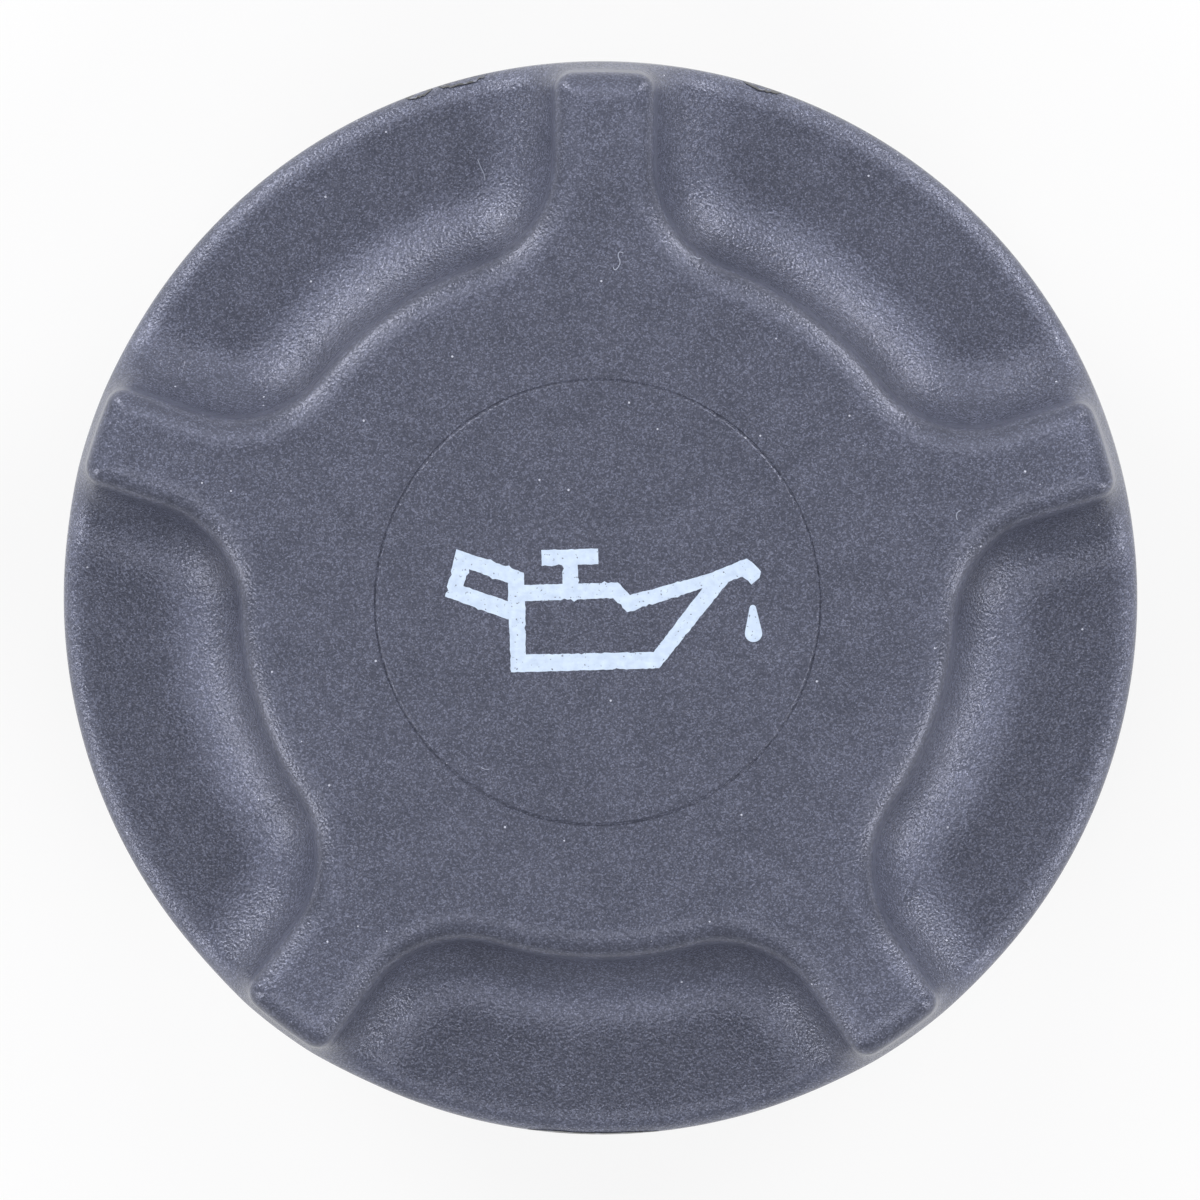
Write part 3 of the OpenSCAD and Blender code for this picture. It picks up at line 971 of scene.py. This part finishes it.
def nitrile_rubber():
    """NBR rubber, compression moulded: matt black with a fine tooth and a pale bloom here and there."""
    mat, tree, shader, place = new_material("nitrile_rubber", Roughness=0.7, IOR=1.52)
    bloom = blend(tree, noise(tree, place, 4, 3.0), colour("#141416"), colour("#232427"))
    tree.links.new(bloom, shader.inputs["Base Color"])
    roughen(tree, shader, noise(tree, place, 0.15, 2.0), 0.5, 0.02)
    return mat


dress(knob, grained_nylon())
dress(plug, satin_nylon())
dress(seal, nitrile_rubber())
dress(sign, pad_ink())
dress(fibres, cotton_lint())
dress(flash, torn_nylon())

# Camera: distance in metres, lens sensor in millimetres, and the photograph's width and scale in pixels
CAMERA_DISTANCE = 2.0
SENSOR = 36
PHOTO_PX = 1200
PX_PER_MM = 16.27
# Where it looks, in millimetres, and how it leans and rolls
TARGET = (-0.02, -0.12, 22)
LEAN = (0.019, 0.031, 1)
ROLL = math.radians(-0.75)
cam_data = bpy.data.cameras.new("cam")
cam = bpy.data.objects.new("cam", cam_data)
SCENE.collection.objects.link(cam)
SCENE.camera = cam
cam_data.lens = SENSOR * CAMERA_DISTANCE / (PHOTO_PX / PX_PER_MM * MM)
cam_data.clip_start = 0.1
cam_data.clip_end = 20
back = Vector(LEAN).normalized()
cam.location = Vector(TARGET) * MM + back * CAMERA_DISTANCE
right = Vector((math.sin(ROLL), math.cos(ROLL), 0)).cross(back).normalized()
axes = Matrix((right, back.cross(right), back)).transposed()
cam.matrix_world = Matrix.Translation(cam.location) @ axes.to_4x4()


def pale_board():
    """A white board: it shows plain white to the camera and to reflections, and keeps a soft shadow."""
    mat = bpy.data.materials.new("white_board")
    mat.use_nodes = True
    tree = mat.node_tree
    tree.nodes.remove(tree.nodes["Principled BSDF"])
    path = node(tree, "ShaderNodeLightPath").outputs
    seen = calculate(tree, "MAXIMUM", path["Is Camera Ray"], path["Is Glossy Ray"])
    seen = calculate(tree, "MAXIMUM", seen, path["Is Transmission Ray"])
    share = calculate(tree, "MULTIPLY", seen, BOARD_WHITE)
    board = node(tree, "ShaderNodeBsdfDiffuse", {"Color": colour("#e9e9ea")}).outputs[0]
    white = node(tree, "ShaderNodeEmission", {"Color": (1, 1, 1, 1), "Strength": 1.0}).outputs[0]
    front = node(tree, "ShaderNodeMixShader", {0: share, 1: board, 2: white}).outputs[0]
    clear = node(tree, "ShaderNodeBsdfTransparent").outputs[0]
    behind = node(tree, "ShaderNodeNewGeometry").outputs["Backfacing"]
    whole = node(tree, "ShaderNodeMixShader", {0: behind, 1: front, 2: clear}).outputs[0]
    tree.links.new(whole, tree.nodes["Material Output"].inputs["Surface"])
    return mat


# The board's width in metres; how much of its look is plain white, while the rest is lit and has the shadow
BOARD_WIDTH = 8
BOARD_WHITE = 0.8
deselect()
bpy.ops.mesh.primitive_plane_add(size=BOARD_WIDTH, location=(0, 0, 0))
floor = bpy.context.object
floor.name = "white_board"
dress(floor, pale_board())

# Lamps: azimuth and elevation in degrees, and power in watts; distance, size and aim are in metres
LAMPS = (
    (45, 15, 3.3), (90, 15, 0.5), (135, 15, 3.5), (205, 15, 2.75), (335, 15, 2.75), (45, 48, 1.0),
    (90, 48, 0.8), (135, 48, 1.25), (232, 52, 1.2), (308, 52, 1.5), (270, 60, 0.3))
LAMP_DISTANCE = 0.8
LAMP_SIZE = 0.3
LAMP_AIM = (0, 0, 0.025)
WORLD_STRENGTH = 0.1
world = bpy.data.worlds.new("studio_air")
SCENE.world = world
world.use_nodes = True
world.node_tree.nodes["Background"].inputs["Color"].default_value = (1, 1, 1, 1)
world.node_tree.nodes["Background"].inputs["Strength"].default_value = WORLD_STRENGTH
for azimuth, elevation, power in LAMPS:
    data = bpy.data.lights.new("soft_lamp", "AREA")
    data.shape = "DISK"
    data.size = LAMP_SIZE
    data.energy = power
    lamp = bpy.data.objects.new("soft_lamp", data)
    SCENE.collection.objects.link(lamp)
    a, e = math.radians(azimuth), math.radians(elevation)
    d = Vector((math.cos(a) * math.cos(e), math.sin(a) * math.cos(e), math.sin(e)))
    lamp.location = d * LAMP_DISTANCE + Vector(LAMP_AIM)
    lamp.rotation_mode = "QUATERNION"
    lamp.rotation_quaternion = d.to_track_quat("Z", "Y")
    lamp.visible_camera = False

SCENE.view_settings.view_transform = "Standard"
